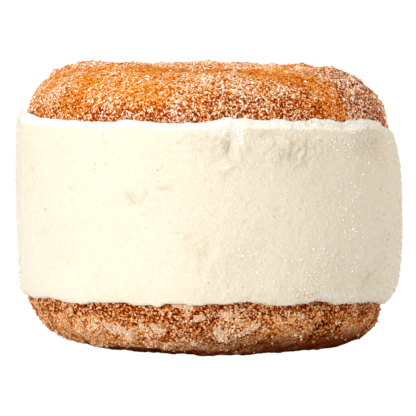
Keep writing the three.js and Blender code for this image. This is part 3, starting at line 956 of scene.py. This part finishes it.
class Nodes:
    """A node tree, with short ways to add the nodes used here."""

    def __init__(self, tree):
        self.tree = tree
        self.coordinates = self.add("ShaderNodeTexCoord").outputs
        self.place = self.coordinates["Object"]

    def add(self, kind, inputs=None, **settings):
        """A new node with its settings, and with a value for each input that is named or numbered."""
        node = self.tree.nodes.new(kind)
        for name, value in settings.items():
            setattr(node, name, value)
        for key, value in (inputs or {}).items():
            self.set(node.inputs[key], value)
        return node

    def set(self, socket, value):
        """Gives a socket a number, a colour or another node's output."""
        if isinstance(value, bpy.types.NodeSocket):
            self.tree.links.new(value, socket)
        elif hasattr(value, "__len__") and len(value) == 3 and socket.type == "RGBA":
            socket.default_value = (*value, 1)
        else:
            socket.default_value = value

    def seen_directly(self):
        """1 for what the camera sees, and 0 for the light that falls on other things."""
        return self.add("ShaderNodeLightPath").outputs["Is Camera Ray"]

    def mask(self, name):
        return self.add("ShaderNodeAttribute", attribute_name=name).outputs["Fac"]

    def texture(self, kind, size, place=None, inputs=None, **settings):
        """The outputs of a texture whose bumps or cells are about `size` millimetres across."""
        scaled = {"Vector": place or self.place, "Scale": 1 / (size * MM)}
        return self.add(kind, scaled | (inputs or {}), **settings).outputs

    def noise(self, size, detail=2.0, roughness=0.5):
        inputs = {"Detail": detail, "Roughness": roughness}
        return self.texture("ShaderNodeTexNoise", size, inputs=inputs)["Fac"]

    def cells(self, size, feature="F1", place=None):
        """Distance from the middles of Voronoi cells, or from their edges."""
        return self.texture("ShaderNodeTexVoronoi", size, place, feature=feature)["Distance"]

    def random_cells(self, size):
        """A random tone from 0 to 1 for each cell, and the distance from the middle of each."""
        cells = self.texture("ShaderNodeTexVoronoi", size)
        return self.add("ShaderNodeSeparateColor", {0: cells["Color"]}).outputs[0], cells["Distance"]

    def wandering_place(self, size, reach):
        """Coordinates that wander up to about `reach` millimetres, for edges that aren't straight."""
        wander = self.texture("ShaderNodeTexNoise", size)["Color"]
        inputs = {0: wander, 1: (2 * reach * MM,) * 3, 2: self.place}
        return self.add("ShaderNodeVectorMath", inputs, operation="MULTIPLY_ADD").outputs["Vector"]

    def times(self, a, b):
        return self.add("ShaderNodeMath", {0: a, 1: b}, operation="MULTIPLY").outputs[0]

    def total(self, start, *parts):
        """A number plus parts, each of them an output and its weight."""
        for value, weight in parts:
            inputs = {0: value, 1: weight, 2: start}
            start = self.add("ShaderNodeMath", inputs, operation="MULTIPLY_ADD").outputs[0]
        return start

    def span(self, value, low, high, to_low=0.0, to_high=1.0):
        """Value from low to high becomes to_low to to_high, and stays within them."""
        inputs = {"Value": value, "From Min": low, "From Max": high, "To Min": to_low, "To Max": to_high}
        return self.add("ShaderNodeMapRange", inputs).outputs["Result"]

    def ramp(self, factor, stops):
        """A colour that runs through stops of (place, colour)."""
        node = self.add("ShaderNodeValToRGB", {"Fac": factor})
        elements = node.color_ramp.elements
        while len(elements) < len(stops):
            elements.new(1.0)
        for element, (place, colour) in zip(elements, stops):
            element.position = place
            element.color = (*colour, 1)
        return node.outputs["Color"]

    def mix(self, factor, a, b, blend="MIX"):
        inputs = {"Factor": factor, 6: a, 7: b}
        return self.add("ShaderNodeMix", inputs, data_type="RGBA", blend_type=blend).outputs[2]

    def bump(self, height, depth):
        """A bumped normal, where a height of 1 stands `depth` millimetres up."""
        inputs = {"Strength": 1.0, "Distance": depth * MM, "Height": height}
        return self.add("ShaderNodeBump", inputs).outputs["Normal"]


class Shader(Nodes):
    """The node tree of a new material with one surface."""

    def __init__(self, name):
        self.material = bpy.data.materials.new(name)
        self.material.use_nodes = True
        self.material.node_tree.nodes.clear()
        super().__init__(self.material.node_tree)
        self.surface = self.add("ShaderNodeBsdfPrincipled")
        self.output = self.add("ShaderNodeOutputMaterial", {"Surface": self.surface.outputs["BSDF"]})

    def finish(self, **values):
        """Sets the surface's own sockets: Base_Color stands for Base Color."""
        for name, value in values.items():
            self.set(self.surface.inputs[name.replace("_", " ")], value)
        return self.material


def ice_cream_material():
    """Cream with painted shade in its hollows and nicks, fine grain, darker mottling in rough places as
    painted shade for their lumps, painted highlights along its edges and on ridges, and bright crystals of
    ice.
    """
    shader = Shader("vanilla_ice_cream")
    rough = shader.mask("rough")
    cream = shader.ramp(shader.noise(9, 3), CREAM_TONES)
    # Painted shade in the hollows.
    hollow = shader.times(shader.span(shader.mask("hollow"), 0.08, 0.75), 0.55)
    cream = shader.mix(hollow, cream, CREAM_PAINTED_SHADE)
    # Painted highlight along the edges. It also thickens the subsurface scattering there.
    edge = shader.total(0.0, (shader.mask("edge"), 1.0), (shader.noise(0.9, 3, 0.6), 0.5))
    edge = shader.span(edge, 0.55, 0.85)
    cream = shader.mix(edge, cream, CREAM_HIGHLIGHT)
    grain = shader.span(shader.noise(0.45, 2, 0.7), 0.35, 0.65, 0.6, 0.0)
    cream = shader.mix(grain, cream, CREAM_GRAIN)
    # Painted shade for the rough lumps, as darker mottling.
    mottle_shade = shader.span(shader.noise(1.1, 3, 0.7), 0.42, 0.60)
    mottle_shade = shader.times(mottle_shade, shader.span(rough, 0.5, 1.2, 0.0, 0.75))
    cream = shader.mix(mottle_shade, cream, CREAM_MOTTLE_SHADE)
    frosted = shader.times(shader.mask("frost"), shader.span(shader.noise(2.2), 0.50, 0.70))
    crystals = shader.times(shader.span(shader.cells(0.5), 0.17, 0.09), frosted)
    cream = shader.mix(crystals, cream, ICE)
    height = shader.total(0.0, (shader.noise(1.6), 1.0), (shader.noise(0.5, 3, 0.6), 0.6))
    height = shader.times(height, shader.span(rough, 0, 1, 1.0, 2.2))
    height = shader.total(height, (crystals, 0.8))
    return shader.finish(
        Base_Color=cream,
        Roughness=0.5,
        Subsurface_Weight=shader.span(edge, 0, 1, 0.2, 0.8),
        Subsurface_Radius=(1.0, 0.9, 0.75),
        Subsurface_Scale=1.2 * MM,
        Specular_IOR_Level=0.35,
        Normal=shader.bump(height, 0.25),
    )


def crust_material(name, look):
    """Fried crust under sugar and cinnamon too fine to model, in tones from dark gaps up to pale crystals,
    with painted shade in its gaps, seams and crags.
    """
    shader = Shader(name)
    torn, sugar = shader.mask("torn"), shader.mask("sugar")
    tone, middle = shader.random_cells(look.cell)
    fine = shader.noise(1.3 * look.cell, 3, 0.7)
    craggy = shader.span(shader.total(0.0, (shader.noise(3.2, 3, 0.6), 1.0), (torn, 0.25)), *look.craggy)
    pebbles = shader.cells(look.pebble, "DISTANCE_TO_EDGE", shader.wandering_place(0.7, 0.35))
    # Painted shade in the seams between pebbles.
    shaded_seams = shader.times(shader.span(pebbles, 0.25, 0.05), craggy)
    uneven = shader.times(shader.total(-0.5, (fine, 1.0)), torn)
    # Each grain darkens toward its rim: painted shade for a rounded crumb.
    parts = (tone, look.facets), (middle, -look.rounding), (fine, look.roughness)
    grain = shader.total(-look.usual_grain, *parts)
    grain = shader.times(grain, shader.span(sugar, 0.1, 0.8, *look.graininess))
    # Torn places come out darker and more uneven, partly painted shade in their crags.
    level = shader.total(
        look.level + look.usual_grain,
        (grain, 1.0),
        (uneven, look.uneven),
        (shader.noise(4.5, 3, 0.6), look.drift),
        (sugar, look.sugar),
        (torn, -look.torn),
        (shaded_seams, -look.shaded_seams),
    )
    flake = shader.total(0.0, (shader.mask("flake"), 1.0), (shader.noise(0.8, 3, 0.7), 0.6))
    flake = shader.span(flake, 0.72, 0.80)
    level = shader.mix(flake, level, shader.total(look.flake, (fine, 1.0), (tone, 0.2)))
    base = shader.ramp(level, look.tones)
    base = shader.mix(shader.times(flake, 0.5), base, CAKED_SUGAR)
    # Painted shade: low on the front right, at the bottom crust's foot and right end, and along the top
    # crust's lines.
    base = shader.mix(shader.mask("browned"), base, look.browned, "MULTIPLY")
    specks = shader.span(shader.cells(2.6), 0.11, 0.07, 0, 0.9)
    base = shader.mix(specks, base, BURNT)
    charred = shader.span(shader.mask("charred"), 0.25, 0.45)
    burnt_crumbs = shader.times(shader.span(shader.cells(0.9), 0.44, 0.36), charred)
    base = shader.mix(burnt_crumbs, base, BURNT)
    height = shader.total(0.0, (tone, 0.6), (middle, -1.2), (fine, 0.8), (shaded_seams, -0.8))
    return shader.finish(
        Base_Color=base,
        Roughness=look.gloss,
        Specular_IOR_Level=0.0,
        Normal=shader.bump(height, look.relief),
    )


def grain_material(name, tones):
    """Grains that each have their own tone."""
    shader = Shader(name)
    return shader.finish(
        Base_Color=shader.ramp(shader.mask("tone"), tones),
        Roughness=0.2,
        Specular_IOR_Level=0.5,
    )


# ---- The object ----


def seat(piece, node=None):
    """Puts a piece on the body, in place of a CAD node if one is named."""
    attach(piece, "root")
    if node:
        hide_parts(node)


def crust_weight(kind, half, sugar):
    """How thick grains of a kind lie on a crust: everywhere, where there is sugar and beside the cut."""
    return kind.anywhere + sugar + kind.at_cut * soft_bump(half.arc / math.radians(CUT_ARC))


def build_top():
    material = crust_material("golden_crust", TOP_LOOK)
    half = sugared_half("top_crust", TOP_HALF, TOP_DRESSING, material)
    seat(half.piece, "doughnut_top")
    rng = np.random.default_rng(GRAIN_SEEDS.top)
    sugar = half.masks["sugar"]
    strew(TOP_SUGAR, half, crust_weight(TOP_SUGAR, half, sugar**2), rng)
    strew(TOP_FINE_SUGAR, half, crust_weight(TOP_FINE_SUGAR, half, sugar), rng)


def build_bottom():
    material = crust_material("brown_crust", BOTTOM_LOOK)
    half = sugared_half("bottom_crust", BOTTOM_HALF, BOTTOM_DRESSING, material)
    seat(half.piece, "doughnut_bottom")
    rng = np.random.default_rng(GRAIN_SEEDS.bottom)
    # Grains stay out of the painted shade.
    lit = 1 - half.masks["browned"]
    thick = np.maximum(half.masks["sugar"] - BARE_BELOW, 0) ** 2 + FLAKE_GRAINS * half.masks["flake"]
    strew(BOTTOM_SUGAR, half, crust_weight(BOTTOM_SUGAR, half, thick) * lit, rng)
    strew(CINNAMON, half, crust_weight(CINNAMON, half, 0) * lit, rng)


def build_ice_cream():
    filling = ice_cream_round("vanilla_round", columns=560, wall_steps=124, material=ice_cream_material())
    seat(filling.piece, "ice_cream")
    rng = np.random.default_rng(GRAIN_SEEDS.ice_cream)
    height = filling.points[:, 2]
    on_wall = smooth_step(*GRAINS_START, filling.at.radius)
    strew(ICE_CRYSTALS, filling, on_wall * (ICE_CRYSTALS.anywhere + filling.masks["frost"]) ** 2, rng)
    smears = mark_strength(SMEARS, filling.at.bearing, height)
    # The crumbs follow the foot's painted highlight band.
    at_foot = filling.masks["edge"] ** FOOT_CRUMBS.narrowing * (height < FOOT_CRUMBS.below)
    strew(TAN_CRUMBS, filling, on_wall * (TAN_CRUMBS.anywhere + FOOT_CRUMBS.share * at_foot + smears), rng)


# ---- Scene ----


def floor_material():
    """Paper that the camera sees as white, with a faint shadow, and that throws little light back up."""
    shader = Shader("pale_floor")
    glow = shader.add("ShaderNodeEmission", {"Strength": WHITE_GLOW})
    share = shader.total(FLOOR_BOUNCE, (shader.seen_directly(), FLOOR_GLOW - FLOOR_BOUNCE))
    inputs = {0: share, 1: shader.surface.outputs["BSDF"], 2: glow.outputs["Emission"]}
    both = shader.add("ShaderNodeMixShader", inputs)
    shader.set(shader.output.inputs["Surface"], both.outputs["Shader"])
    return shader.finish(Base_Color=FLOOR_PAPER, Roughness=0.9)


def build_world():
    """White behind everything, with light that is weaker and warmer from the right."""
    world = bpy.data.worlds.new("studio")
    world.use_nodes = True
    nodes = Nodes(world.node_tree)
    across = nodes.add("ShaderNodeSeparateXYZ", {0: nodes.coordinates["Generated"]}).outputs["X"]
    room = nodes.mix(nodes.span(across, *ROOM_FADE), ROOM_LEFT, ROOM_RIGHT)
    colour = nodes.mix(nodes.seen_directly(), room, (WHITE_GLOW,) * 3)
    nodes.set(world.node_tree.nodes["Background"].inputs["Color"], colour)
    bpy.context.scene.world = world


def build_floor():
    bpy.ops.mesh.primitive_circle_add(vertices=128, radius=FLOOR_RADIUS, fill_type="NGON")
    floor = bpy.context.active_object
    floor.name = "floor"
    floor.data.materials.append(floor_material())


def build_lights():
    for name, lamp in LAMPS.items():
        light = bpy.data.lights.new(name, "AREA")
        light.shape = "DISK"
        light.size = lamp.size
        light.energy = lamp.power
        made = add_object(name, light)
        made.location = lamp.place
        made.rotation_euler = (Vector(LAMP_AIM) - made.location).to_track_quat("-Z", "Y").to_euler()


def build_camera():
    camera = bpy.data.cameras.new("camera")
    camera.sensor_width = SENSOR
    camera.lens = SENSOR * VIEW_DISTANCE / VIEW_WIDTH
    camera.clip_start, camera.clip_end = VIEW_CLIP
    made = add_object("camera", camera)
    tilt = math.radians(VIEW_ELEVATION)
    back = Vector((0, -math.cos(tilt), math.sin(tilt)))
    made.location = Vector(VIEW_AIM) * MM + back * VIEW_DISTANCE * MM
    made.rotation_euler = (-back).to_track_quat("-Z", "Y").to_euler()
    bpy.context.scene.camera = made


def main():
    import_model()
    bpy.context.scene.view_settings.view_transform = "Standard"
    build_camera()
    build_world()
    build_floor()
    build_lights()
    build_top()
    build_bottom()
    build_ice_cream()


main()
